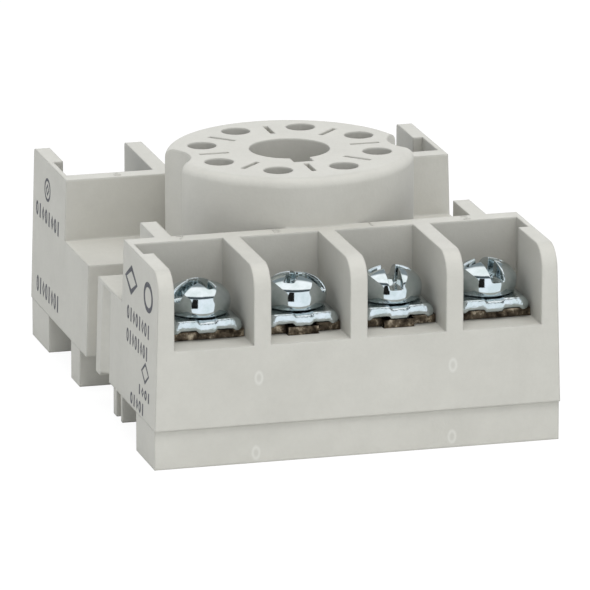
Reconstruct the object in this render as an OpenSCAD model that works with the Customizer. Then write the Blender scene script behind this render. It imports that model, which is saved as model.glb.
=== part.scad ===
// Eight-pin octal relay socket with screw terminals, for a 35 mm rail or a panel.
// The origin is on the boss axis at the mounting plane. X runs along a row of
// terminals, -Y is the side of the key, and +Z points out of the boss.

/* [Terminal rows] */
// Width of one terminal bay
bay_w = 7.9; // [7.4:0.1:8.6]
// Depth of one terminal bay, from the inner wall to the open face
bay_d = 11.7; // [11.2:0.1:12.6]
// Thickness of the partitions between the bays
partition_t = 1.7; // [1.2:0.05:2]
// Thickness of the end walls at the mounting plane
end_wall_t = 2.08; // [1.8:0.01:2.6]
// Depth of the relief in the end walls beside the inner wall
relief_d = 1; // [0.3:0.05:1]
// Length of the relief in the front row
relief_front_l = 3.8; // [2:0.1:5]
// Length of the relief in the rear row
relief_rear_l = 5.6; // [2:0.1:7]
// Thickness of the inner walls behind the terminals
inner_wall_t = 1.9; // [1.4:0.1:2.2]
// Clear distance between the two inner walls
inner_gap = 23.6; // [22.8:0.1:24.6]
// Radius of the open top corner of the front partitions
corner_r = 2.2; // [1:0.1:3]
// Radius of the open top corner of the rear partitions
rear_corner_r = 0.4; // [0.2:0.05:0.6]
// Draft of the two ends of the housing, in degrees
end_draft = 1.65; // [0:0.05:2]

/* [Heights] */
// Height of the feet, which is the depth of the rail recess
foot_h = 3.9; // [3.7:0.1:4.6]
// Height of the ledge in front of each terminal, above the feet
ledge_h = 7.9; // [7.4:0.1:9]
// Thickness of the deck over the contact strips
deck_roof = 0.65; // [0.5:0.05:1.2]
// Height of the inner walls and partitions above the deck
wall_h = 6.25; // [5.5:0.05:7]
// Height of the boss above the inner walls
boss_rise = 4.87; // [4:0.01:6]

/* [Boss] */
// Radius of the boss
boss_r = 12.3; // [12:0.05:12.6]
// Radius of the boss's top edge
boss_edge_r = 0.9; // [0.3:0.05:1.2]
// Radius of the circle of pin holes
pin_circle_r = 8.725; // [8.6:0.005:8.85]
// Radius of a pin hole in the top of the boss
pin_hole_r = 1.45; // [1.3:0.05:1.6]
// Thickness of the top of the boss over the contacts
boss_roof = 1.2; // [0.9:0.05:1.6]
// Radius of the hole for the relay's centre post
post_hole_r = 4; // [3.9:0.05:4.2]
// Radius that the keyway reaches
keyway_r = 5.4; // [5:0.05:5.6]
// Width of the keyway
keyway_w = 2; // [1.6:0.05:2.2]
// Width of the fine slits between the pin holes
slit_w = 0.5; // [0.3:0.05:0.7]
// Depth of the slits
slit_d = 0.7; // [0.3:0.05:1]
// Radius at which a slit starts
slit_in_r = 6.2; // [6:0.05:6.6]
// Radius at which a slit ends
slit_out_r = 9.2; // [8.6:0.05:9.6]

/* [Panel screws and clip grooves] */
// Width of the open slots for the panel screws
slot_w = 4; // [3.6:0.1:4.4]
// Distance of the slots' round ends from the middle
slot_x = 14.35; // [14:0.05:15]
// Radius of the recess in the boss for a panel screw's head
head_recess_r = 4.15; // [3.8:0.05:4.3]
// Radius of the round clip groove in each end of the housing
groove_r = 1.9; // [1.6:0.05:2.1]
// Depth of the clip groove
groove_d = 1.3; // [0.8:0.05:1.4]
// Height of the deck left standing over the groove
groove_top = 0.35; // [0.2:0.05:1]
// Distance of the groove's middle in front of the panel slot's middle
groove_y = 5.55; // [5.2:0.05:5.8]
// How far the ear between slot and groove reaches below the housing
ear_drop = 0.3; // [0.1:0.05:0.6]
// Thickness of the ribs behind the front inner wall
rib_t = 1.65; // [1.2:0.05:2]
// Length of those ribs
rib_l = 5.8; // [4.5:0.1:6.5]
// Distance of the ribs from the middle
rib_x = 15.95; // [15.5:0.05:16.6]

/* [Base] */
// Thickness of the base's web inside the housing
web_t = 1.5; // [1.2:0.1:2]
// Thickness of the housing's skirt around the web
skirt_t = 1.7; // [1.4:0.1:1.8]
// Clearance of the web in the housing
web_gap = 0.1; // [0.05:0.01:0.2]
// How far the feet are set in from the front and rear of the housing
foot_inset = 0.3; // [0.1:0.05:0.5]
// How far the feet and the block are set in from its ends
foot_end_inset = 0.15; // [0.12:0.01:0.3]
// Width of the recess for the rail
rail_w = 35.9; // [35.4:0.1:36.2]
// Width of the middle block, which stands in the rail's hollow
block_w = 17; // [15:0.1:19]
// Width of the gap in the block at each panel slot
block_gap = 9.9; // [8:0.1:10.5]
// How far the front half of the block is set in
block_inset = 1; // [0.6:0.05:1.4]
// Thickness of the fin at the block's front corner
fin_t = 0.6; // [0.5:0.05:0.9]
// Width of the gap behind the fin
fin_gap = 1.7; // [1.2:0.1:2.2]
// Reach of the rail hooks
hook_reach = 1.2; // [0.8:0.05:1.4]
// Width of each hook
hook_w = 7; // [5:0.5:8]
// Distance of the front hooks from the middle
hook_x = 9; // [7:0.5:12]
// Height under the hooks' lips
hook_z = 0.9; // [0.6:0.05:1.2]
// Thickness of a hook's tip
hook_tip_t = 0.5; // [0.4:0.05:0.7]
// Room for the rail's flange over the hooks
flange_room = 1.3; // [1.1:0.05:1.5]

/* [Rail latch] */
// Width of the sliding latch
latch_w = 9.8; // [8:0.1:12]
// Travel of the latch
latch_travel = 1.8; // [1.4:0.1:2]
// Clearance beside the latch
latch_gap = 0.3; // [0.1:0.05:0.4]
// Clearance over and under the latch
latch_play = 0.2; // [0.1:0.05:0.3]
// How far the latch is set in from the rear foot's face
latch_inset = 0.4; // [0.2:0.05:0.6]
// Height of the latch's underside
latch_lift = 0.3; // [0.1:0.05:0.5]
// Width of the slot for a screwdriver's blade
blade_w = 4.4; // [3:0.1:5]
// Length of that slot along the travel
blade_l = 0.7; // [0.5:0.05:1]
// Wall outside the slot
blade_wall = 0.6; // [0.4:0.05:0.8]
// Height of solid latch between the slot and the tongues
blade_roof = 0.5; // [0.3:0.05:0.8]
// Width of the tongue along each side of the latch
tongue_w = 1.2; // [0.8:0.05:1.6]
// Height of the tongues
tongue_h = 1.2; // [1:0.05:1.4]
// Outer radius of the latch spring
spring_r = 1.15; // [1:0.05:1.2]
// Wire diameter of the latch spring
spring_wire = 0.25; // [0.2:0.05:0.3]
// Turns of the latch spring
spring_turns = 4; // [3:1:5]
// Length of the fitted spring beyond its travel and its wire
spring_spare = 0.4; // [0.2:0.1:0.8]
// Wall of the latch in front of the spring
spring_wall = 0.7; // [0.5:0.05:1]
// Clearance over the spring
spring_play = 0.1; // [0.05:0.01:0.15]
// Thickness of the post that the spring pushes against
post_t = 0.8; // [0.6:0.1:1]

/* [Contacts] */
// Thickness of the contact strip
strip_t = 0.8; // [0.6:0.05:1]
// Width of the strip between terminal and pin
strip_w = 3; // [2.4:0.1:3.4]
// Width of the ledge in front of a terminal plate
ledge_d = 3.5; // [3.1:0.1:3.6]
// Reach of the tab on the edge of the inner columns' plates
tab_l = 0.85; // [0.5:0.05:1.1]
// Width of that tab
tab_w = 3; // [2.4:0.1:3.4]
// Outer radius of the tapped collar
collar_r = 2.3; // [2.2:0.05:2.4]
// Length of the collar below the strip
collar_l = 1.6; // [1.2:0.1:2]
// Inner radius of the sleeve that grips a pin
sleeve_r = 1.2; // [1.15:0.01:1.3]
// Wall of the sleeve
sleeve_t = 0.45; // [0.35:0.05:0.5]
// Room around the sleeve in its chamber
chamber_gap = 0.35; // [0.2:0.05:0.4]
// Room over the sleeve
sleeve_play = 0.3; // [0.1:0.1:0.6]
// Rim of the strip around its sleeve
pad_rim = 0.3; // [0.2:0.05:0.3]
// Room around the collar in its cradle
collar_room = 0.4; // [0.2:0.05:0.6]
// How far the cradle is set in under the strip
cradle_inset = 0.3; // [0.1:0.05:0.5]
// Height above the strip at which the sleeve splits into fingers
finger_z = 5; // [3:0.5:7]
// Width of the sleeve's slits
finger_gap = 0.5; // [0.3:0.1:0.6]
// Clearance between the contacts and the housing
contact_gap = 0.05; // [0.03:0.01:0.1]

/* [Terminal screws and clamps] */
// Distance of the screw behind the open face
screw_setback = 6.1; // [6:0.05:6.4]
// Radius of the screw's thread
thread_r = 1.75; // [1.6:0.05:1.8]
// Running clearance of the thread
thread_gap = 0.05; // [0.03:0.01:0.08]
// Length of the screw below its head
thread_l = 6.9; // [6.5:0.1:7]
// Length of the chamfer at the screw's tip
tip_l = 0.4; // [0.2:0.05:0.6]
// Radius of the screw's head
head_r = 3.15; // [2.9:0.05:3.3]
// Height of the head
head_h = 3.15; // [2.9:0.05:3.3]
// Height at which the head is widest, between its rim and its dome
head_side = 1.15; // [0.9:0.05:1.4]
// How far the head's rim curves in at its seat
head_rim = 0.4; // [0.2:0.05:0.6]
// Width of the driver slot
driver_w = 1.3; // [0.9:0.05:1.4]
// Depth of the driver slot
driver_d = 1.7; // [1.2:0.05:1.8]
// Reach of the cross recess
cross_r = 1.95; // [1.6:0.05:2.1]
// Depth of the cross recess
cross_d = 2.2; // [1.9:0.05:2.4]
// Thickness of a clamp plate
clamp_t = 1.05; // [0.8:0.05:1.2]
// Clearance on each side of a clamp plate in its bay
clamp_gap = 0.2; // [0.15:0.05:0.4]
// Length of a clamp plate
clamp_l = 7.2; // [6.6:0.1:7.4]
// Corner radius of a clamp plate
clamp_corner_r = 1.2; // [0.6:0.05:1.8]
// Clearance of the screw in the clamp's hole
clamp_hole_gap = 0.2; // [0.1:0.05:0.3]
// Width of the clamp's middle channel
channel_w = 1.3; // [1:0.1:2]
// Width of the slope from the channel up to a wing
wing_slope = 0.5; // [0.3:0.05:0.9]
// Width of the falling tip of a wing
wing_tip = 1.05; // [0.7:0.05:1.3]
// Rise of the clamp's wings over the wire grooves
wing_rise = 0.3; // [0.1:0.01:0.35]

/* [Hidden] */

$fn = 64;
bays = 4;
terminals = 8;
over = 1;

// Overall sizes
bay_pitch = bay_w + partition_t;
row_half = bays / 2 * bay_pitch - partition_t / 2;
half_w = row_half + end_wall_t;
bay_back = inner_gap / 2 + inner_wall_t;
half_l = bay_back + bay_d;

// Heights from the mounting plane
ledge_z = foot_h + ledge_h;
strip_z = ledge_z + strip_t;
deck_z = strip_z + deck_roof;
wall_z = deck_z + wall_h;
boss_z = wall_z + boss_rise;
web_z = foot_h + web_t;

// Places along Y, as distances from the boss axis
screw_y = half_l - screw_setback;
plate_y = half_l - ledge_d;
foot_y = rail_w / 2;

// The sleeve stands in a round chamber under each pin hole
sleeve_out_r = sleeve_r + sleeve_t;
chamber_r = sleeve_out_r + chamber_gap;
sleeve_top = boss_z - boss_roof - sleeve_play;

// The clamp plate lies on the strip, and the screw's head on the clamp's wings
clamp_z = strip_z;
clamp_w = bay_w - 2 * clamp_gap;
head_z = clamp_z + wing_rise + clamp_t;

// The latch, and its spring between the pocket's inner end and the base's post
latch_in = foot_y + hook_reach;
latch_out = half_l - foot_inset - latch_inset;
spring_start = foot_y + spring_wall;
spring_end = spring_start + latch_travel + spring_turns * spring_wire + spring_spare;
spring_z = foot_h - latch_play - spring_r - spring_play;

function pin_angle(i) = 360 / terminals * (i - 2.5);
function pin_x(i) = pin_circle_r * cos(pin_angle(i));
function pin_y(i) = pin_circle_r * sin(pin_angle(i));
function row(i) = pin_y(i) > 0 ? 1 : -1;
function column(i) = abs(pin_x(i)) > abs(pin_y(i)) ? 1.5 : 0.5;
function bay_x(i) = sign(pin_x(i)) * column(i) * bay_pitch;
function has_tab(i) = column(i) < 1;

// A box from one corner to the opposite one
module span(low, high) {
    translate(low) cube(high - low);
}

// Puts what is drawn for a front terminal, around x = 0, at terminal i
module at_terminal(i) {
    translate([bay_x(i), 0, 0]) mirror([0, row(i) > 0 ? 1 : 0, 0]) children();
}

// Repeats what is drawn on the right on the left as well
module both_ends() {
    for (side = [0, 1]) mirror([side, 0, 0]) children();
}

// Repeats what is drawn for the front row on the rear row as well
module both_rows() {
    for (side = [0, 1]) mirror([0, side, 0]) children();
}

// ---------------------------------------------------------------- housing

// The two terminal blocks with the lower deck between them
module housing_block() {
    span([-half_w, -half_l, foot_h], [half_w, half_l, deck_z]);
    both_rows() span([-half_w, -half_l, foot_h], [half_w, -inner_gap / 2, wall_z]);
}

// The round boss, with its top edge rounded
module boss_body() {
    rotate_extrude($fn = 128) {
        square([boss_r - boss_edge_r, boss_z]);
        translate([0, foot_h]) square([boss_r, boss_z - boss_edge_r - foot_h]);
        translate([boss_r - boss_edge_r, boss_z - boss_edge_r]) circle(boss_edge_r);
    }
}

// The foot of the ear that stands between the panel slot and the clip groove
module ear_foot() {
    both_ends() span([half_w - 2 * groove_d, groove_r - groove_y, foot_h - ear_drop], [half_w, 0, foot_h]);
}

// Ribs between the front inner wall and the panel slots
module wall_ribs() {
    both_ends() translate([rib_x - rib_t / 2, -inner_gap / 2 - over, deck_z - over])
        cube([rib_t, rib_l + over, wall_h + over]);
}

// Bay i with the pocket that the contact enters from below
module bay_cut(i) {
    translate([-bay_w / 2, -half_l - over, ledge_z])
        cube([bay_w, bay_d + over, wall_z]);
    translate([-bay_w / 2, -plate_y, web_z - over])
        cube([bay_w, plate_y - bay_back, wall_z]);
    if (has_tab(i)) translate([-tab_w / 2 - contact_gap, -plate_y - tab_l - contact_gap, web_z - over])
        cube([tab_w + 2 * contact_gap, tab_l + over, ledge_z]);
}

// Relief in the end walls beside the inner wall of one row
module relief_cut(length) {
    both_ends() translate([row_half - over, -bay_back - length, ledge_z])
        cube([relief_d + over, length, wall_z]);
}

// Rounds the front row's open top corner on the partitions and end walls
module corner_cut(r) {
    translate([-half_w - over, -half_l, wall_z - r]) difference() {
        translate([0, -over, 0]) cube([2 * (half_w + over), r + over, r + over]);
        translate([-over, r, 0]) rotate([0, 90, 0]) cylinder(r = r, h = 2 * half_w + 4 * over);
    }
}

// Leans the end face in by the draft
module draft_cut() {
    translate([half_w, -half_l - over, 0]) rotate([0, -end_draft, 0])
        cube([half_w, 2 * (half_l + over), 2 * boss_z]);
}

// The post hole with its keyway, the pin holes and the slits in the boss
module boss_cuts() {
    translate([0, 0, web_z - over]) cylinder(r = post_hole_r, h = boss_z);
    span([-keyway_w / 2, -keyway_r, web_z - over], [keyway_w / 2, 0, boss_z + over]);
    for (i = [1 : terminals]) {
        translate([pin_x(i), pin_y(i), web_z]) cylinder(r = pin_hole_r, h = boss_z);
        translate([pin_x(i), pin_y(i), web_z - over])
            cylinder(r = chamber_r, h = boss_z - boss_roof - web_z + over);
        rotate([0, 0, pin_angle(i) + 180 / terminals]) translate([slit_in_r, -slit_w / 2, boss_z - slit_d])
            cube([slit_out_r - slit_in_r, slit_w, slit_d + over]);
    }
}

// Open slot for a panel screw, the recess for its head and the clip groove
module end_cuts() {
    translate([slot_x, 0, 0]) cylinder(r = slot_w / 2, h = deck_z + over);
    span([slot_x, -slot_w / 2, 0], [half_w + over, slot_w / 2, deck_z + over]);
    translate([slot_x, 0, deck_z]) cylinder(r = head_recess_r, h = boss_z);
    translate([half_w - groove_d + groove_r, -groove_y, 0])
        cylinder(r = groove_r, h = deck_z - groove_top);
}

// The wall left standing around a panel slot, below the deck
module slot_wall(gap) {
    wall = skirt_t + slot_w / 2 + gap;
    span([slot_x - wall, -wall, 0], [half_w + over, wall, web_z + over]);
}

// The room for the base's web
module web_room() {
    difference() {
        span([-half_w + skirt_t, -half_l + skirt_t, foot_h - over],
             [half_w - skirt_t, half_l - skirt_t, web_z]);
        both_ends() slot_wall(0);
    }
}

module housing() {
    color([0.78, 0.775, 0.755]) difference() {
        union() {
            housing_block();
            intersection() {
                boss_body();
                span([-half_w, -half_l, foot_h], [half_w, half_l, boss_z + over]);
            }
            wall_ribs();
            ear_foot();
        }
        for (i = [1 : terminals]) {
            at_terminal(i) bay_cut(i);
            strip_path(i, contact_gap, web_z - over, strip_z);
        }
        relief_cut(relief_front_l);
        mirror([0, 1, 0]) relief_cut(relief_rear_l);
        corner_cut(corner_r);
        mirror([0, 1, 0]) corner_cut(rear_corner_r);
        both_ends() draft_cut();
        both_ends() end_cuts();
        boss_cuts();
        web_room();
    }
}

// ---------------------------------------------------------------- base

// Side view of a rail hook, pointing at the rail, with a sloping lead-in
module hook_profile() {
    lip_top = foot_h - flange_room;
    polygon([[0, 0], [0, lip_top], [hook_reach, lip_top],
             [hook_reach, lip_top - hook_tip_t], [hook_reach / 6, hook_z / 3]]);
}

// A rail hook of the given width, growing towards +Y from y = 0
module rail_hook(width) {
    translate([-width / 2, 0, 0]) rotate([90, 0, 90]) linear_extrude(width) hook_profile();
}

// The web that closes the housing from below
module base_web() {
    difference() {
        span([-half_w + skirt_t + web_gap, -half_l + skirt_t + web_gap, foot_h],
             [half_w - skirt_t - web_gap, half_l - skirt_t - web_gap, web_z]);
        both_ends() slot_wall(web_gap);
    }
}

// The block between the rail's flanges, open around each panel slot
module middle_block() {
    end_x = half_w - foot_end_inset;
    difference() {
        span([-end_x, -block_w / 2, 0], [end_x, block_w / 2, foot_h]);
        both_ends() span([slot_x - slot_w / 2 - skirt_t, -block_gap / 2, -over],
                         [half_w + over, block_gap / 2, foot_h + over]);
        both_ends() span([end_x - block_inset, -block_w / 2 - over, -over],
                         [half_w + over, 0, foot_h + over]);
        both_ends() span([end_x - 2 * block_inset, -block_w / 2 + fin_t, -over],
                         [half_w + over, -block_w / 2 + fin_t + fin_gap, foot_h + over]);
    }
}

// The channel in the rear foot that guides the latch
module latch_channel() {
    half = latch_w / 2 + latch_gap;
    span([-half, foot_y - over, -over], [half, half_l + over, foot_h]);
    span([-half - tongue_w, latch_in - latch_gap, foot_h - tongue_h - latch_play],
         [half + tongue_w, half_l + over, foot_h]);
}

// The cradle that carries one contact: under its plate, its strip and its sleeve
module contact_cradle(i) {
    at_terminal(i) difference() {
        translate([-bay_w / 2 + web_gap, -plate_y + web_gap, foot_h])
            cube([bay_w - 2 * web_gap, plate_y - bay_back - 2 * web_gap, ledge_h]);
        translate([0, -screw_y, web_z]) cylinder(r = collar_r + collar_room, h = ledge_h);
        translate([-collar_r - collar_room, -half_l, web_z])
            cube([2 * (collar_r + collar_room), half_l - screw_y, ledge_h]);
    }
    strip_path(i, -cradle_inset, foot_h, ledge_z);
}

module base() {
    color([0.785, 0.78, 0.76]) {
        difference() {
            union() {
                base_web();
                middle_block();
                both_rows() span([-half_w + foot_end_inset, -half_l + foot_inset, 0],
                                 [half_w - foot_end_inset, -foot_y, foot_h]);
            }
            latch_channel();
        }
        for (side = [-1, 1]) translate([side * hook_x, -foot_y, 0]) rail_hook(hook_w);
        span([-spring_r, spring_end, spring_z - spring_r], [spring_r, spring_end + post_t, foot_h + over]);
        for (i = [1 : terminals]) contact_cradle(i);
    }
}

// ---------------------------------------------------------------- rail latch

// The sliding latch, with its tongues, the spring's pocket and a slot for a blade
module rail_latch() {
    pocket = spring_r + latch_gap;
    top = foot_h - latch_play;
    color([0.72, 0.715, 0.69]) {
        difference() {
            union() {
                span([-latch_w / 2, foot_y, latch_lift], [latch_w / 2, latch_out, top]);
                span([-latch_w / 2 - tongue_w + latch_gap, latch_in, foot_h - tongue_h],
                     [latch_w / 2 + tongue_w - latch_gap, latch_out, top]);
            }
            span([-pocket, spring_start, spring_z - pocket],
                 [pocket, spring_end + post_t + latch_play, foot_h + over]);
            span([-blade_w / 2, latch_out - blade_wall - blade_l, -over],
                 [blade_w / 2, latch_out - blade_wall, foot_h - tongue_h - blade_roof]);
        }
        translate([0, foot_y, 0]) mirror([0, 1, 0]) rail_hook(latch_w);
    }
}

// Points of a ring of wire at turn t of the spring, around its Y axis
ring_sides = 8;
ring_steps = 16;
function spring_length() = spring_end - spring_start;
function spring_y(t) = spring_wire / 2 + (spring_length() - spring_wire) * t / spring_turns;
function ring_point(t, a) = let (r = spring_r - spring_wire / 2 + spring_wire / 2 * cos(a))
    [r * cos(360 * t), spring_start + spring_y(t) + spring_wire / 2 * sin(a), spring_z + r * sin(360 * t)];

module latch_spring() {
    rings = spring_turns * ring_steps;
    points = [for (k = [0 : rings]) for (s = [0 : ring_sides - 1])
        ring_point(k / ring_steps, 360 * s / ring_sides)];
    sides = [for (k = [0 : rings - 1]) for (s = [0 : ring_sides - 1])
        let (a = k * ring_sides + s, b = k * ring_sides + (s + 1) % ring_sides)
        [a, b, b + ring_sides, a + ring_sides]];
    first = [for (s = [ring_sides - 1 : -1 : 0]) s];
    last = [for (s = [0 : ring_sides - 1]) rings * ring_sides + s];
    color([0.7, 0.7, 0.72]) polyhedron(points, concat(sides, [first, last]), convexity = 8);
}

// ---------------------------------------------------------------- contacts

// The plan of contact i's strip, from its plate to its pin, grown by a margin
module strip_path(i, grow, low, high) {
    start = [bay_x(i), row(i) * (bay_back + strip_w / 2)];
    end = [pin_x(i), pin_y(i)];
    run = end - start;
    translate([start[0], start[1], low]) rotate([0, 0, atan2(run[1], run[0])])
        translate([0, -strip_w / 2 - grow, 0]) cube([norm(run), strip_w + 2 * grow, high - low]);
    translate([end[0], end[1], low]) cylinder(r = sleeve_out_r + pad_rim + grow, h = high - low);
}

// The rolled sleeve, open along one side and split into fingers at the top
module sleeve() {
    difference() {
        cylinder(r = sleeve_out_r, h = sleeve_top - ledge_z);
        translate([0, 0, -over]) cylinder(r = sleeve_r, h = boss_z);
        span([0, -finger_gap / 2, strip_t + finger_gap], [2 * sleeve_out_r, finger_gap / 2, boss_z]);
        span([-finger_gap / 2, -2 * sleeve_out_r, finger_z], [finger_gap / 2, 2 * sleeve_out_r, boss_z]);
    }
}

// One piece of brass: terminal plate with its tapped collar, strip and sleeve
module contact(i) {
    color([0.62, 0.5, 0.3]) difference() {
        union() {
            at_terminal(i) {
                translate([-bay_w / 2 + contact_gap, -plate_y + contact_gap, ledge_z])
                    cube([bay_w - 2 * contact_gap, plate_y - bay_back - contact_gap, strip_t]);
                if (has_tab(i)) translate([-tab_w / 2, -plate_y - tab_l, ledge_z])
                    cube([tab_w, tab_l + over, strip_t]);
                translate([0, -screw_y, ledge_z - collar_l]) cylinder(r = collar_r, h = collar_l);
            }
            strip_path(i, 0, ledge_z, strip_z);
            translate([pin_x(i), pin_y(i), ledge_z]) rotate([0, 0, pin_angle(i)]) sleeve();
        }
        at_terminal(i) translate([0, -screw_y, ledge_z - collar_l - over])
            cylinder(r = thread_r + thread_gap, h = collar_l + strip_t + 2 * over);
        translate([pin_x(i), pin_y(i), 0]) cylinder(r = sleeve_r, h = boss_z);
    }
}

// ---------------------------------------------------------------- clamps and screws

// Height of the clamp's underside at x: low in the middle, raised wings, low tips
function ease(t) = (1 - cos(180 * max(0, min(1, t)))) / 2;
function wing_z(x) = wing_rise * ease((abs(x) - channel_w / 2) / wing_slope)
    - 0.8 * wing_rise * ease((abs(x) - clamp_w / 2 + wing_tip) / wing_tip);

// Plan of the clamp plate, with rounded corners
module clamp_plan() {
    flat_w = clamp_w / 2 - clamp_corner_r;
    flat_l = clamp_l / 2 - clamp_corner_r;
    square([2 * flat_w, clamp_l], center = true);
    square([clamp_w, 2 * flat_l], center = true);
    for (x = [-flat_w, flat_w]) for (y = [-flat_l, flat_l])
        translate([x, y]) circle(clamp_corner_r);
}

// Saddle-shaped clamp plate of terminal i
module clamp_plate(i) {
    steps = 32;
    xs = [for (k = [0 : steps]) clamp_w * (k / steps - 0.5)];
    under = [for (x = xs) [x, wing_z(x)]];
    upper = [for (k = [steps : -1 : 0]) [xs[k], wing_z(xs[k]) + clamp_t]];
    color([0.8, 0.82, 0.84]) at_terminal(i) translate([0, -screw_y, clamp_z]) difference() {
        intersection() {
            translate([0, clamp_l / 2, 0]) rotate([90, 0, 0])
                linear_extrude(clamp_l) polygon(concat(under, upper));
            translate([0, 0, -over]) linear_extrude(3 * over + clamp_t) clamp_plan();
        }
        translate([0, 0, -over]) cylinder(r = thread_r + clamp_hole_gap, h = 3 * over + clamp_t);
    }
}

// Half outline of the screw's head: a rim that curves out from the seat, then a dome
rim_steps = 6;
dome_steps = 16;
driver_turn = [77, 96, 65, 20, 140, 80, 28, 4];
function dome_point(k) = let (a = 90 * k / dome_steps)
    [head_r * cos(a), head_side + (head_h - head_side) * sin(a)];
function rim_point(k) = let (a = 90 * k / rim_steps)
    [head_r - head_rim * (1 - sin(a)), head_side * (1 - cos(a))];

module driver_recess() {
    translate([-head_r - over, -driver_w / 2, head_h - driver_d])
        cube([2 * (head_r + over), driver_w, driver_d + over]);
    intersection() {
        for (turn = [0, 90]) rotate([0, 0, turn])
            translate([-cross_r, -driver_w / 2, head_h - cross_d])
                cube([2 * cross_r, driver_w, cross_d + over]);
        translate([0, 0, head_h - cross_d])
            cylinder(r1 = driver_w / 2, r2 = 1.5 * cross_r, h = cross_d + over);
    }
}

// Terminal screw i, with a domed head for a blade or a cross driver
module terminal_screw(i) {
    color([0.84, 0.86, 0.88]) at_terminal(i) translate([0, -screw_y, head_z]) difference() {
        union() {
            rotate_extrude() polygon(concat([[0, 0]],
                [for (k = [0 : rim_steps - 1]) rim_point(k)],
                [for (k = [0 : dome_steps]) dome_point(k)]));
            translate([0, 0, -thread_l + tip_l]) cylinder(r = thread_r, h = thread_l);
            translate([0, 0, -thread_l]) cylinder(r1 = thread_r - tip_l, r2 = thread_r, h = tip_l);
        }
        rotate([0, 0, driver_turn[i - 1]]) driver_recess();
    }
}

housing();
base();
contact(1);  // contact_1
contact(2);  // contact_2
contact(3);  // contact_3
contact(4);  // contact_4
contact(5);  // contact_5
contact(6);  // contact_6
contact(7);  // contact_7
contact(8);  // contact_8
clamp_plate(1);  // clamp_plate_1
clamp_plate(2);  // clamp_plate_2
clamp_plate(3);  // clamp_plate_3
clamp_plate(4);  // clamp_plate_4
clamp_plate(5);  // clamp_plate_5
clamp_plate(6);  // clamp_plate_6
clamp_plate(7);  // clamp_plate_7
clamp_plate(8);  // clamp_plate_8
terminal_screw(1);  // terminal_screw_1
terminal_screw(2);  // terminal_screw_2
terminal_screw(3);  // terminal_screw_3
terminal_screw(4);  // terminal_screw_4
terminal_screw(5);  // terminal_screw_5
terminal_screw(6);  // terminal_screw_6
terminal_screw(7);  // terminal_screw_7
terminal_screw(8);  // terminal_screw_8
rail_latch();
latch_spring();
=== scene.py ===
"""Dresses the octal relay socket: moulded housing and base, brass contacts, plated screws and clamps."""

import math

import bmesh
import bpy
import numpy as np
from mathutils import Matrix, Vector


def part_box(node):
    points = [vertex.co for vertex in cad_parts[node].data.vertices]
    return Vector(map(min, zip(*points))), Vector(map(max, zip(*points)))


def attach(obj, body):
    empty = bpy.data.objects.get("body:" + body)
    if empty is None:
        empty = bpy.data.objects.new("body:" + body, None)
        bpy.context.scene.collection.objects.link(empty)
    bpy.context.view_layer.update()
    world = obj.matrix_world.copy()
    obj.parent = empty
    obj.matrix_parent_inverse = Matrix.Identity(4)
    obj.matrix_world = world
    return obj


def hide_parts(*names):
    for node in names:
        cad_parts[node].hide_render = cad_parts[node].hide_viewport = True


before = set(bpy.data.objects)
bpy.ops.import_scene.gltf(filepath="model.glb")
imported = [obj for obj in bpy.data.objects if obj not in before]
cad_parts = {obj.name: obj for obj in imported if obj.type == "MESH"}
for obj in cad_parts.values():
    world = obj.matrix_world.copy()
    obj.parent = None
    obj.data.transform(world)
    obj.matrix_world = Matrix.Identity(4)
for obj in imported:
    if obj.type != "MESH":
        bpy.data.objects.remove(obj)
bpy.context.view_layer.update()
scene = bpy.context.scene


# ---------------------------------------------------------------- camera
# A long lens a good arm's length away, a little above the terminals and to the
# left of the key, so that the near row, the boss and the left end all show.

azimuth = math.radians(-15.35)
elevation = math.radians(15.42)
camera_distance = 0.770
look_at = Vector((0.00043, -0.00055, 0.00945))
towards_camera = Vector((math.sin(azimuth) * math.cos(elevation),
                         -math.cos(azimuth) * math.cos(elevation),
                         math.sin(elevation)))

lens = bpy.data.cameras.new("camera")
lens.sensor_width = 36.0
lens.lens = 473.2
lens.clip_start, lens.clip_end = 0.05, 20.0
camera = bpy.data.objects.new("camera", lens)
scene.collection.objects.link(camera)
camera.rotation_mode = "QUATERNION"
camera.location = look_at + towards_camera * camera_distance
camera.rotation_quaternion = (-towards_camera).to_track_quat("-Z", "Y")
scene.camera = camera
scene.view_settings.view_transform = "Standard"


# ---------------------------------------------------------------- studio
# A white tent: an even dome of light, a broad soft box overhead and a white floor. The
# camera sees only white. Plating mirrors the tent as it stands, with a bright front
# wall, a dark seam, a bright roof and a dim back.

def linear(hex_colour):
    """The linear colour of an sRGB hex value: each channel c becomes c / 12.92 if it
    is under 0.04045, and otherwise ((c + 0.055) / 1.055) to the power 2.4."""
    c = np.array([int(hex_colour[i:i + 2], 16) / 255 for i in (1, 3, 5)])
    c = np.where(c <= 0.04045, c / 12.92, ((c + 0.055) / 1.055) ** 2.4)
    return (*c.tolist(), 1.0)


def add_node(tree, kind, sockets=(), stops=(), **settings):
    """Adds one node. settings are its properties, and sockets pairs an input's name or
    number with a value or with another node's output to link to it. stops are a colour
    ramp's places from 0 to 1 with their hex colours, in order."""
    node = tree.nodes.new("ShaderNode" + kind)
    for name, value in settings.items():
        setattr(node, name, value)
    for name, value in dict(sockets).items():
        if isinstance(value, bpy.types.NodeSocket):
            tree.links.new(value, node.inputs[name])
        else:
            node.inputs[name].default_value = value
    if stops:
        for end, (place, hex_colour) in zip(node.color_ramp.elements, (stops[0], stops[-1])):
            end.position, end.color = place, linear(hex_colour)
        for place, hex_colour in stops[1:-1]:
            node.color_ramp.elements.new(place).color = linear(hex_colour)
    return node


def new_material(name):
    """An empty node material, and the tree it is built in."""
    material = bpy.data.materials.new(name)
    material.use_nodes = True
    material.node_tree.nodes.clear()
    return material, material.node_tree


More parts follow.
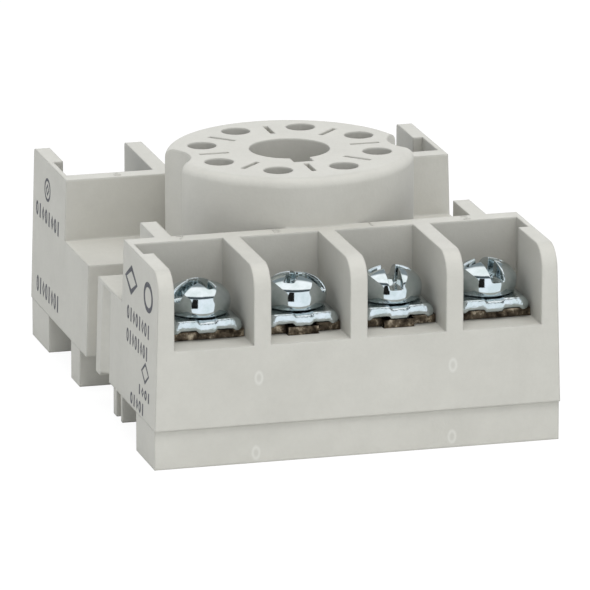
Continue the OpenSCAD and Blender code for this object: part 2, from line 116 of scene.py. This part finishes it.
DOME_LIGHT, MIRROR_LIGHT = 0.84, 1.5
world = bpy.data.worlds.new("studio tent")
world.use_nodes = True
scene.world = world
sky = world.node_tree
sky.nodes.clear()
rays = add_node(sky, "LightPath")
seen = add_node(sky, "Math", {0: rays.outputs["Is Camera Ray"], 1: rays.outputs["Is Transmission Ray"]},
                operation="MAXIMUM")
lit = add_node(sky, "Background", {"Color": linear("#f8fbff"), "Strength": DOME_LIGHT})
shown = add_node(sky, "Background", {"Color": linear("#ffffff"), "Strength": 1.0})

facing = add_node(sky, "TexCoord")
turned = add_node(sky, "VectorRotate", {"Vector": facing.outputs["Generated"], "Angle": -azimuth},
                  rotation_type="Z_AXIS")
way = add_node(sky, "SeparateXYZ", {0: turned.outputs["Vector"]})

# Along the tent's arch, 0 is the back horizon from below, 1/2 the front horizon and 3/4 straight up.
# Its ends bow towards the camera by a share of the sideways distance squared.
bow = add_node(sky, "Math", {0: way.outputs["X"], 1: way.outputs["X"]}, operation="MULTIPLY")
bowed = add_node(sky, "Math", {0: bow.outputs[0], 1: 0.6}, operation="MULTIPLY")
ahead = add_node(sky, "Math", {0: bowed.outputs[0], 1: way.outputs["Y"]}, operation="SUBTRACT")
arch = add_node(sky, "Math", {0: way.outputs["Z"], 1: ahead.outputs[0]}, operation="ARCTAN2")
share = add_node(sky, "MapRange", {"Value": arch.outputs[0], "From Min": -math.pi, "From Max": math.pi})
TENT_STOPS = (
    (0.0, "#8f9192"), (0.28, "#8f9192"),       # dim back, from below
    (0.38, "#eef3f8"), (0.635, "#eef3f8"),     # bright floor and front wall
    (0.648, "#40474b"), (0.68, "#555c60"),     # dark seam where the wall meets the roof
    (0.693, "#ffffff"), (0.815, "#ffffff"),    # bright roof
    (0.845, "#80878a"), (0.925, "#80878a"),    # dim back wall
    (0.94, "#ffffff"), (1.0, "#ffffff"),       # bright strip at the back horizon
)
tent = add_node(sky, "ValToRGB", {"Fac": share.outputs["Result"]}, TENT_STOPS)
tent.color_ramp.interpolation = "EASE"
mirrored = add_node(sky, "Background", {"Color": tent.outputs["Color"], "Strength": MIRROR_LIGHT})
soft = add_node(sky, "MixShader", {0: rays.outputs["Is Glossy Ray"], 1: lit.outputs[0],
                                   2: mirrored.outputs[0]})
mixed = add_node(sky, "MixShader", {0: seen.outputs[0], 1: soft.outputs[0], 2: shown.outputs[0]})
add_node(sky, "OutputWorld", {"Surface": mixed.outputs[0]})

# The soft box stands outside the tent, so nothing mirrors it.
panel = bpy.data.lights.new("soft_box", "AREA")
panel.shape, panel.size, panel.size_y, panel.energy = "RECTANGLE", 0.55, 0.45, 4.2
soft_box = bpy.data.objects.new("soft_box", panel)
scene.collection.objects.link(soft_box)
soft_box.location = (0.02, -0.28, 0.78)
soft_box.visible_glossy = False
soft_box.rotation_mode = "QUATERNION"
soft_box.rotation_quaternion = (Vector((0, 0, 0.01)) - soft_box.location).to_track_quat("-Z", "Y")

# A tall black card beside the camera, which only the plating mirrors. Its foot is lower than the
# object by CARD_DIP of its distance.
CARD_DISTANCE, CARD_HALF_WIDTH, CARD_HEIGHT, CARD_DIP = 0.9, 0.18, 1.35, 0.32
card_way = azimuth + math.radians(-11)
card_foot = Vector((math.sin(card_way), -math.cos(card_way), -CARD_DIP)) * CARD_DISTANCE
card_half = Vector((math.cos(card_way), math.sin(card_way), 0)) * CARD_HALF_WIDTH
card_top = Vector((0, 0, CARD_HEIGHT))
card_mesh = bpy.data.meshes.new("black_card")
card_mesh.from_pydata([card_foot - card_half, card_foot + card_half, card_foot + card_half + card_top,
                       card_foot - card_half + card_top], [], [(0, 1, 2, 3)])
black_card = bpy.data.objects.new("black_card", card_mesh)
scene.collection.objects.link(black_card)
for ray in ("camera", "diffuse", "shadow", "transmission", "volume_scatter"):
    setattr(black_card, "visible_" + ray, False)
velvet, tree = new_material("black velvet")
pile = add_node(tree, "BsdfDiffuse", {"Color": linear("#2a2826")})
add_node(tree, "OutputMaterial", {"Surface": pile.outputs["BSDF"]})
card_mesh.materials.append(velvet)

# The floor is a grid of squares, a hair under the feet. Plating doesn't mirror it.
FLOOR_HALF, FLOOR_LINES, FLOOR_Z = 1.5, 9, -0.00002
floor_grid = np.linspace(-FLOOR_HALF, FLOOR_HALF, FLOOR_LINES)
floor_x, floor_y = np.meshgrid(floor_grid, floor_grid, indexing="ij")
floor_points = np.stack([floor_x, floor_y, np.full_like(floor_x, FLOOR_Z)], axis=-1).reshape(-1, 3)
corner = np.arange(FLOOR_LINES ** 2).reshape(FLOOR_LINES, FLOOR_LINES)
floor_quads = np.stack([corner[:-1, :-1], corner[1:, :-1], corner[1:, 1:], corner[:-1, 1:]], axis=-1)
floor_mesh = bpy.data.meshes.new("sweep")
floor_mesh.from_pydata(floor_points.tolist(), [], floor_quads.reshape(-1, 4).tolist())
sweep = bpy.data.objects.new("sweep", floor_mesh)
scene.collection.objects.link(sweep)
sweep.visible_glossy = False

paper, tree = new_material("matt white card")
rays = add_node(tree, "LightPath")
share = add_node(tree, "Math", {0: rays.outputs["Is Camera Ray"], 1: 0.9}, operation="MULTIPLY")
card = add_node(tree, "BsdfDiffuse", {"Color": linear("#f2f2f0")})
white = add_node(tree, "Emission", {"Color": linear("#ffffff"), "Strength": 1.04})
mixed = add_node(tree, "MixShader", {0: share.outputs[0], 1: card.outputs[0], 2: white.outputs[0]})
add_node(tree, "OutputMaterial", {"Surface": mixed.outputs[0]})
floor_mesh.materials.append(paper)


# ---------------------------------------------------------------- housing
# The upper moulding, with the terminal bays and the boss: glass-filled
# polyester, injection-moulded in a lightly sparked tool. It is warm light grey,
# satin, and every edge is softened a little by the mould.

MM = 0.001
GATE_R, GATE_LINE = 0.33, 0.18


def moulded_polyester(name, dark, pale, gloss, gates=()):
    """Glass-filled polyester. Object coordinates are in metres, so a noise scale is one over the
    size of its patches: 7 mm flow clouds with a finer mottle in the colour, and 0.28 mm spark texture
    in the bump. Each gate leaves a pale upright ring, where the distance from it is near its radius
    with heights counted at three fifths."""
    material, tree = new_material(name)
    place = add_node(tree, "TexCoord")
    clouds = add_node(tree, "TexNoise", {"Vector": place.outputs["Object"], "Scale": 1 / (7 * MM),
                                         "Detail": 5.0, "Roughness": 0.8})
    tint = add_node(tree, "ValToRGB", {"Fac": clouds.outputs["Fac"]}, ((0.3, dark), (0.7, pale)))
    skin_colour = tint.outputs["Color"]
    for gate in gates:
        away = add_node(tree, "VectorMath", {0: place.outputs["Object"], 1: Vector(gate) * MM},
                        operation="SUBTRACT")
        squat = add_node(tree, "VectorMath", {0: away.outputs["Vector"], 1: (1.0, 1.0, 0.6)},
                         operation="MULTIPLY")
        reach = add_node(tree, "VectorMath", {0: squat.outputs["Vector"]}, operation="LENGTH")
        off = add_node(tree, "Math", {0: reach.outputs["Value"], 1: GATE_R * MM}, operation="SUBTRACT")
        near = add_node(tree, "Math", {0: off.outputs[0]}, operation="ABSOLUTE")
        ring = add_node(tree, "MapRange", {"Value": near.outputs[0], "From Min": 0.0,
                                           "From Max": GATE_LINE * MM, "To Min": 0.6, "To Max": 0.0})
        paler = add_node(tree, "MixRGB", {"Fac": ring.outputs["Result"], "Color1": skin_colour,
                                          "Color2": linear("#d0cfc9")})
        skin_colour = paler.outputs["Color"]
    grain = add_node(tree, "TexNoise", {"Vector": place.outputs["Object"], "Scale": 1 / (0.28 * MM),
                                        "Detail": 2.0})
    soft = add_node(tree, "Bevel", {"Radius": 0.28 * MM}, samples=8)
    bump = add_node(tree, "Bump", {"Height": grain.outputs["Fac"], "Normal": soft.outputs["Normal"],
                                   "Strength": 0.5, "Distance": 0.03 * MM})
    rough = add_node(tree, "MapRange", {"Value": grain.outputs["Fac"], "To Min": gloss - 0.06,
                                        "To Max": gloss + 0.06})
    skin = add_node(tree, "BsdfPrincipled", {"Base Color": skin_colour, "Roughness": rough.outputs["Result"],
                                             "IOR": 1.52, "Normal": bump.outputs["Normal"]})
    add_node(tree, "OutputMaterial", {"Surface": skin.outputs["BSDF"]})
    return material


def finish_node(name, material):
    """Puts a material on every slot of a CAD node."""
    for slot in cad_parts[name].material_slots:
        slot.material = material


HOUSING_GATES = ((-9.98, -25.4, 8.56), (9.44, -25.4, 8.38))
housing_grey = moulded_polyester("moulded polyester, light grey", "#b5b3ab", "#bebcb4", 0.5, HOUSING_GATES)
finish_node("housing", housing_grey)


# ---------------------------------------------------------------- base and latch
# The lower moulding snaps into the housing, and the latch slides in its rear
# foot. Both are the same polyester from another tool, a shade lighter.

BASE_GATES = ((-10.2, -25.1, 1.0), (9.47, -25.1, 1.1))
base_grey = moulded_polyester("moulded polyester, base", "#b6b4ac", "#bfbdb5", 0.52, BASE_GATES)
latch_grey = moulded_polyester("moulded polyester, latch", "#b1afa7", "#b7b5ad", 0.5)
finish_node("base", base_grey)
finish_node("rail_latch", latch_grey)

spring_wire, tree = new_material("drawn spring wire")
place = add_node(tree, "TexCoord")
drawn = add_node(tree, "TexNoise", {"Vector": place.outputs["Object"], "Scale": 1 / (0.1 * MM),
                                    "Detail": 2.0})
rough = add_node(tree, "MapRange", {"Value": drawn.outputs["Fac"], "To Min": 0.25, "To Max": 0.4})
wire = add_node(tree, "BsdfPrincipled", {"Base Color": linear("#9a9a98"), "Metallic": 1.0,
                                         "Roughness": rough.outputs["Result"]})
add_node(tree, "OutputMaterial", {"Surface": wire.outputs["BSDF"]})
finish_node("latch_spring", spring_wire)


# ---------------------------------------------------------------- contacts
# Each contact is blanked and folded from brass strip. It is tarnished brown
# in 1.1 mm patches with brighter and smoother metal between them, and its brown is
# set darker as painted shade for the shadow the plates sit in under the clamps.

brass, tree = new_material("brass strip, tarnish and painted shade")
place = add_node(tree, "TexCoord")
tarnish_and_shade = add_node(tree, "TexNoise", {"Vector": place.outputs["Object"], "Scale": 1 / (1.1 * MM),
                                      "Detail": 5.0, "Roughness": 0.7})
# The dark end of this ramp is painted shade, darker than the tarnish alone.
tone = add_node(tree, "ValToRGB", {"Fac": tarnish_and_shade.outputs["Fac"]},
                ((0.4, "#2b241d"), (0.55, "#665b4d"), (0.67, "#cabca6")))
rough = add_node(tree, "MapRange", {"Value": tarnish_and_shade.outputs["Fac"], "To Min": 0.55, "To Max": 0.3})
strip = add_node(tree, "BsdfPrincipled", {"Base Color": tone.outputs["Color"], "Metallic": 1.0,
                                          "Roughness": rough.outputs["Result"]})
add_node(tree, "OutputMaterial", {"Surface": strip.outputs["BSDF"]})
for i in range(1, 9):
    finish_node(f"contact_{i}", brass)


# ---------------------------------------------------------------- terminal screws
# Headed and rolled steel screws, plated in bright zinc with a faint blue-green
# passivation. The head is a tall dome with a blade slot across a cross recess,
# and each was left turned its own way.

def grid_faces(rows, columns):
    """Quads between neighbouring points of a grid whose columns close into a ring."""
    r, c = np.meshgrid(np.arange(rows - 1), np.arange(columns), indexing="ij")
    right = (c + 1) % columns
    quads = np.stack([r * columns + c, r * columns + right, (r + 1) * columns + right, (r + 1) * columns + c],
                     axis=-1)
    return quads.reshape(-1, 4)


def mesh_object(name, points, quads, caps=(), smooth=True):
    """An object at the origin from points in metres, quads and closing polygons."""
    mesh = bpy.data.meshes.new(name)
    mesh.from_pydata(points.tolist(), [], quads.tolist() + [list(cap) for cap in caps])
    mesh.polygons.foreach_set("use_smooth", np.full(len(mesh.polygons), smooth))
    mesh.update()
    piece = bpy.data.objects.new(name, mesh)
    scene.collection.objects.link(piece)
    return piece


def smooth_step(t):
    """0 below 0, 1 above 1, and 3 t squared less 2 t cubed between."""
    t = np.clip(t, 0, 1)
    return t * t * (3 - 2 * t)


def box_foot(node):
    """The middle of a CAD node's box in plan, at the height of its underside, in metres."""
    low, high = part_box(node)
    return np.array([(low[0] + high[0]) / 2, (low[1] + high[1]) / 2, low[2]])


# The screw's sizes in mm, and how far each one is turned in degrees.
HEAD_R, HEAD_H, HEAD_SIDE, HEAD_RIM = 3.15, 3.15, 1.15, 0.4
SLOT_DEPTH, SLOT_HALF = 1.7, 0.62
CROSS_DEPTH, CROSS_HALF, CROSS_R = 2.3, 0.66, 2.1
NECK_R, NECK_L = 1.95, 0.12
THREAD_R, THREAD_DEPTH, PITCH = 1.72, 0.36, 0.794
SHANK_L, TIP_R, TIP_L = 6.9, 1.2, 0.45
SCREW_TURN = {1: 87, 2: 100, 3: 65, 4: 20, 5: 140, 6: 80, 7: 28, 8: 150}

# Every ring of its mesh has COLUMNS points. The rings are evenly spaced out to CROWN_R, and closer
# beyond it, where the dome turns down. The first and the last have the radius AXIS_R.
COLUMNS = 240
CROWN_R, AXIS_R = 2.5, 0.03


def dome_height(r):
    """Height of the head at radius r: an ellipse from the side's top to the crown."""
    return HEAD_SIDE + (HEAD_H - HEAD_SIDE) * np.sqrt(np.clip(1 - (r / HEAD_R) ** 2, 0, 1))


def recess_depth(x, y, top):
    """How far the recess goes below the head's surface at x, y. The blade slot has a level floor and
    soft sides. The cross has four wings that narrow outwards, and a floor that rises by half of r."""
    slot_floor = HEAD_H - SLOT_DEPTH
    slot = smooth_step((SLOT_HALF + 0.12 - np.abs(y)) / 0.2) * np.clip(top - slot_floor, 0, None)
    r = np.hypot(x, y)
    cross_floor = HEAD_H - CROSS_DEPTH + 0.5 * r
    half = CROSS_HALF - 0.1 * r
    wing = smooth_step((half + 0.08 - np.minimum(np.abs(x), np.abs(y))) / 0.16)
    cross = wing * smooth_step((CROSS_R - r) / 0.15) * np.clip(top - cross_floor, 0, None)
    return np.maximum(slot, cross)


def screw_points(turn):
    """Rings of points from the crown to the tip, around the screw's axis, in mm above the head's seat.
    The dome carries the recess, the rim is rounded under, and the thread's radius follows a triangle
    wave of height plus one pitch per turn."""
    angle = 2 * np.pi * np.arange(COLUMNS) / COLUMNS
    outer_r = CROWN_R + (HEAD_R - CROWN_R) * np.sin(np.linspace(0, np.pi / 2, 30)[1:])
    dome_r = np.concatenate([np.linspace(AXIS_R, CROWN_R, 60), outer_r])
    r = dome_r[:, None] * np.ones(COLUMNS)
    x, y = r * np.cos(angle), r * np.sin(angle)
    t = math.radians(turn)
    top = dome_height(r)
    z = top - recess_depth(x * math.cos(t) + y * math.sin(t), y * math.cos(t) - x * math.sin(t), top)
    head = np.stack([x, y, z], axis=-1)
    bend = np.linspace(np.pi / 2, 0, 13)[1:]
    side_r = np.concatenate([HEAD_R - HEAD_RIM * (1 - np.sin(bend)), [NECK_R]])
    side_z = np.concatenate([HEAD_SIDE * (1 - np.cos(bend)), [0.0]])
    depth = np.linspace(-NECK_L, -(SHANK_L - TIP_L), 110)
    phase = (depth[:, None] / PITCH + angle / (2 * np.pi)) % 1
    ridge = 1 - np.abs(2 * phase - 1)
    fade = smooth_step((-depth - 0.3) / 0.8)[:, None]
    thread_r = THREAD_R - THREAD_DEPTH * fade * (1 - ridge)
    tip_r = np.array([TIP_R, AXIS_R])
    tip_z = np.array([-SHANK_L, -SHANK_L])
    level = np.ones(COLUMNS)
    lower_r = np.concatenate([np.outer(side_r, level), thread_r, np.outer(tip_r, level)])
    lower_z = np.outer(np.concatenate([side_z, depth, tip_z]), level)
    lower = np.stack([lower_r * np.cos(angle), lower_r * np.sin(angle), lower_z], axis=-1)
    return np.concatenate([head, lower])


def zinc_plating(name, gloss, dents):
    """Bright zinc over steel: 1.1 mm patches of haze, and soft 0.5 mm dents that are dents mm deep."""
    material, tree = new_material(name)
    place = add_node(tree, "TexCoord")
    haze = add_node(tree, "TexNoise", {"Vector": place.outputs["Object"], "Scale": 1 / (1.1 * MM),
                                       "Detail": 3.0})
    tint = add_node(tree, "ValToRGB", {"Fac": haze.outputs["Fac"]}, ((0.35, "#b9c3c4"), (0.65, "#c8cfd2")))
    rough = add_node(tree, "MapRange", {"Value": haze.outputs["Fac"], "To Min": gloss, "To Max": 2 * gloss})
    pits = add_node(tree, "TexNoise", {"Vector": place.outputs["Object"], "Scale": 1 / (0.5 * MM),
                                       "Detail": 2.0})
    bump = add_node(tree, "Bump", {"Height": pits.outputs["Fac"], "Strength": 1.0, "Distance": dents * MM})
    plating = add_node(tree, "BsdfPrincipled", {"Base Color": tint.outputs["Color"], "Metallic": 1.0,
                                                "Roughness": rough.outputs["Result"],
                                                "Normal": bump.outputs["Normal"]})
    add_node(tree, "OutputMaterial", {"Surface": plating.outputs["BSDF"]})
    return material


bright_zinc = zinc_plating("bright zinc plating", 0.05, 0.004)
tumbled_zinc = zinc_plating("tumbled zinc plating", 0.15, 0.09)

for i in range(1, 9):
    seat = box_foot(f"terminal_screw_{i}") + (0, 0, SHANK_L * MM)
    points = screw_points(SCREW_TURN[i])
    rows = len(points)
    crown, tip = np.arange(COLUMNS), (rows - 1) * COLUMNS + np.arange(COLUMNS)[::-1]
    screw = mesh_object(f"zinc_screw_{i}", points.reshape(-1, 3) * MM + seat,
                        grid_faces(rows, COLUMNS)[:, ::-1], caps=[crown, tip])
    screw.data.materials.append(bright_zinc)
    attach(screw, f"screw_{i}")
    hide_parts(f"terminal_screw_{i}")


# ---------------------------------------------------------------- clamp plates
# Pressed steel saddles under the screw heads, zinc-plated like them. Each has
# two raised wings that turn down at their ends, and every edge is rounded by
# the tumbling before the bath.

# Sizes in mm. The _X values are distances from the middle, where the channel's wall, the hollow
# under a wing and the wing's fall begin and where the hollow ends. LIP_Y is where its lip begins.
CLAMP_W, CLAMP_L, CLAMP_T, CLAMP_HOLE, CLAMP_CORNER, CLAMP_EDGE = 7.5, 7.2, 1.05, 1.95, 1.2, 0.32
WING_RISE, WING_FALL, SEAT_GAP = 0.3, 0.42, 0.02
CHANNEL_X, HOLLOW_X, FALL_X, HOLLOW_END_X, LIP_Y = 0.65, 0.75, 2.75, 3.0, 2.9
CLAMP_POINTS, PLATE_ROWS, EDGE_ROWS = 192, 16, 11


def rounded_rectangle(width, length, radius, count):
    """Points round a rectangle with circular corners, evenly spaced by angle from its middle."""
    angle = 2 * np.pi * np.arange(count) / count
    direction = np.stack([np.cos(angle), np.sin(angle)], axis=-1)
    half = np.array([width / 2, length / 2])
    reach = 1 / np.max(np.abs(direction) / half, axis=1)
    inner = half - radius
    for _ in range(30):
        beyond = np.clip(np.abs(direction * reach[:, None]) - inner, 0, None)
        reach -= np.clip(np.hypot(beyond[:, 0], beyond[:, 1]) - radius, 0, None) * 0.9
    return direction * reach[:, None], direction


def clamp_points():
    """A closed section carried round the hole. At each angle the section runs out along the top, round
    the edge in a half circle, back along the bottom and up the hole's wall. The top follows the saddle:
    low in the channel, more so at its lips, then a smooth rise into the wings and a fall at their ends.
    The bottom is level, with a hollow under each wing. The wings' tops stop a seat gap below the head."""
    outer, direction = rounded_rectangle(CLAMP_W - 2 * CLAMP_EDGE, CLAMP_L - 2 * CLAMP_EDGE,
                                         CLAMP_CORNER - CLAMP_EDGE, CLAMP_POINTS)
    hole = direction * CLAMP_HOLE
    share = np.linspace(0.0, 1.0, PLATE_ROWS)
    turn = np.linspace(np.pi / 2, -np.pi / 2, EDGE_ROWS + 2)[1:-1]
    across = np.concatenate([share, np.ones(EDGE_ROWS), share[::-1]])
    out = np.concatenate([np.zeros(PLATE_ROWS), CLAMP_EDGE * np.cos(turn), np.zeros(PLATE_ROWS)])
    level = np.concatenate([np.ones(PLATE_ROWS), 0.5 + 0.5 * np.sin(turn), np.zeros(PLATE_ROWS)])
    plan = hole[None] + (outer - hole)[None] * across[:, None, None] + direction[None] * out[:, None, None]
    reach = np.abs(plan[..., 0])
    wing = smooth_step((reach - CHANNEL_X) / 0.4)
    lip = 0.35 + 0.65 * smooth_step((np.abs(plan[..., 1]) - LIP_Y) / 0.6)
    under = WING_RISE * smooth_step((reach - HOLLOW_X) / 0.35) * smooth_step((HOLLOW_END_X - reach) / 0.5)
    over = CLAMP_T - SEAT_GAP + WING_RISE * (1 - lip * (1 - wing)) - WING_FALL * smooth_step(reach - FALL_X)
    height = under + (over - under) * level[:, None]
    return np.concatenate([plan, height[..., None]], axis=-1)


clamp_shape = clamp_points()
ring = np.arange(clamp_shape[..., 0].size).reshape(clamp_shape.shape[:2])
next_ring = np.roll(ring, -1, axis=0)
clamp_quads = np.stack([next_ring, np.roll(next_ring, -1, axis=1), np.roll(ring, -1, axis=1), ring],
                       axis=-1).reshape(-1, 4)
for i in range(1, 9):
    seat = box_foot(f"clamp_plate_{i}")
    clamp = mesh_object(f"zinc_clamp_{i}", clamp_shape.reshape(-1, 3) * MM + seat, clamp_quads)
    clamp.data.materials.append(tumbled_zinc)
    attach(clamp, f"clamp_{i}")
    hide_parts(f"clamp_plate_{i}")


# ---------------------------------------------------------------- end print
# Dark grey pad print on the left end: rings, diamonds, and rows of small plain
# signs. It is a film of ink on a wall that leans in by its draft.

END_X, END_DRAFT = 20.43, math.radians(1.65)
INK_T = 0.012


def on_end_wall(outline, rise):
    """Places points y, z in mm on the left end wall, rise mm off it: x is the wall's distance at the
    mounting plane less z times the tangent of the draft."""
    y, z = np.asarray(outline, dtype=float).T
    return np.stack([-(END_X - z * math.tan(END_DRAFT) + rise), y, z], axis=-1)


def oval(y, z, half_y, half_z, count):
    """Points round an ellipse, in the order that faces -X."""
    angle = -2 * np.pi * np.arange(count) / count
    return np.stack([y + half_y * np.cos(angle), z + half_z * np.sin(angle)], axis=-1)


def printed_ring(y, z, half_y, half_z, line, count=48):
    """Points and quads of a closed ring of ink, with four sides when count is 4. Its loops are outer
    and inner on the surface of the ink, then inner and outer on the wall."""
    outer, inner = oval(y, z, half_y, half_z, count), oval(y, z, half_y - line, half_z - line, count)
    points = np.concatenate([on_end_wall(outer, INK_T), on_end_wall(inner, INK_T),
                             on_end_wall(inner, 0.0), on_end_wall(outer, 0.0)])
    loop = np.arange(4 * count).reshape(4, count)
    after = np.roll(loop, -1, axis=1)
    below, below_after = np.roll(loop, -1, axis=0), np.roll(after, -1, axis=0)
    return points, np.stack([loop, after, below_after, below], axis=-1).reshape(-1, 4)


def printed_bar(start, end, low, high):
    """Points and quads of one closed upright bar of ink from y = start to y = end."""
    outline = [(start, low), (start, high), (end, high), (end, low)]
    points = np.concatenate([on_end_wall(outline, INK_T), on_end_wall(outline, 0.0)])
    sides = [[k, k + 4, (k + 1) % 4 + 4, (k + 1) % 4] for k in range(4)]
    return points, np.array([[0, 1, 2, 3], [7, 6, 5, 4], *sides])


def printed_row(start, end, low, high, count):
    """A row of small signs, in turn a bar, a ring and a diamond, which is a ring with four sides. A
    ring fills three quarters of its share of the row, and a bar a third."""
    step, middle = (end - start) / count, (low + high) / 2
    row = []
    for k in range(count):
        y = start + (k + 0.5) * step
        if k % 3 == 0:
            row.append(printed_bar(y - step / 6, y + step / 6, low, high))
        else:
            sides = 20 if k % 3 == 1 else 4
            row.append(printed_ring(y, middle, 0.38 * step, (high - low) / 2, 0.24 * step, sides))
    return row


# The rear bays' end first, then the front bays', each from the top down, in mm.
films = [printed_ring(19.4, 16.6, 1.25, 1.2, 0.3), printed_ring(19.4, 16.6, 0.65, 0.65, 0.3, 4)]
films += printed_row(14.0, 24.2, 13.0, 14.5, 8)
films += printed_row(13.6, 23.3, 5.2, 6.9, 8)
films += [printed_ring(-15.1, 16.3, 2.4, 1.5, 0.6, 4), printed_ring(-21.7, 16.3, 1.75, 1.5, 0.5)]
films += printed_row(-22.6, -13.6, 12.2, 13.6, 8)
films += printed_row(-22.1, -13.6, 9.9, 11.3, 8)
films += [printed_ring(-21.2, 8.6, 1.5, 1.1, 0.35, 4), *printed_row(-23.3, -18.6, 6.0, 7.0, 4)]
films += printed_row(-21.1, -15.6, 4.2, 5.4, 5)

starts = np.cumsum([0] + [len(points) for points, quads in films[:-1]])
print_mesh = mesh_object("end_print", np.concatenate([points for points, quads in films]) * MM,
                         np.concatenate([quads + start for start, (points, quads) in zip(starts, films)]),
                         smooth=False)
ink, tree = new_material("dark grey pad-printing ink")
place = add_node(tree, "TexCoord")
wear = add_node(tree, "TexNoise", {"Vector": place.outputs["Object"], "Scale": 1 / (0.5 * MM), "Detail": 3.0})
tone = add_node(tree, "ValToRGB", {"Fac": wear.outputs["Fac"]}, ((0.35, "#3c3c42"), (0.65, "#55555b")))
film = add_node(tree, "BsdfPrincipled", {"Base Color": tone.outputs["Color"], "Roughness": 0.55})
add_node(tree, "OutputMaterial", {"Surface": film.outputs["BSDF"]})
print_mesh.data.materials.append(ink)
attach(print_mesh, "socket")


# ---------------------------------------------------------------- terminal numbers
# Plain raised digits, moulded on top of the inner walls behind each terminal.
# Each is a text made into a mesh, with its faces and sides welded together.

INNER_WALL_Y, WALL_Z = 12.75, 19.5
DIGIT_SIZE, DIGIT_RISE = 1.7, 0.05
for i in range(1, 9):
    x, y, _ = box_foot(f"terminal_screw_{i}")
    lettering = bpy.data.curves.new(f"digit_{i}", "FONT")
    lettering.body, lettering.size, lettering.extrude = str(i), DIGIT_SIZE * MM, DIGIT_RISE * MM
    lettering.align_x, lettering.align_y = "CENTER", "CENTER"
    shape = bpy.data.objects.new(f"digit_{i}", lettering)
    scene.collection.objects.link(shape)
    drawn = bpy.data.meshes.new_from_object(shape.evaluated_get(bpy.context.evaluated_depsgraph_get()))
    bpy.data.objects.remove(shape)
    welded = bmesh.new()
    welded.from_mesh(drawn)
    bmesh.ops.remove_doubles(welded, verts=welded.verts, dist=0.0001 * MM)
    welded.to_mesh(drawn)
    welded.free()
    points = np.empty(3 * len(drawn.vertices))
    drawn.vertices.foreach_get("co", points)
    middle = np.array([x, math.copysign(INNER_WALL_Y * MM, y), WALL_Z * MM])
    drawn.vertices.foreach_set("co", (points.reshape(-1, 3) + middle).ravel())
    drawn.materials.clear()
    drawn.materials.append(housing_grey)
    digit = bpy.data.objects.new(f"raised_digit_{i}", drawn)
    scene.collection.objects.link(digit)
    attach(digit, "socket")
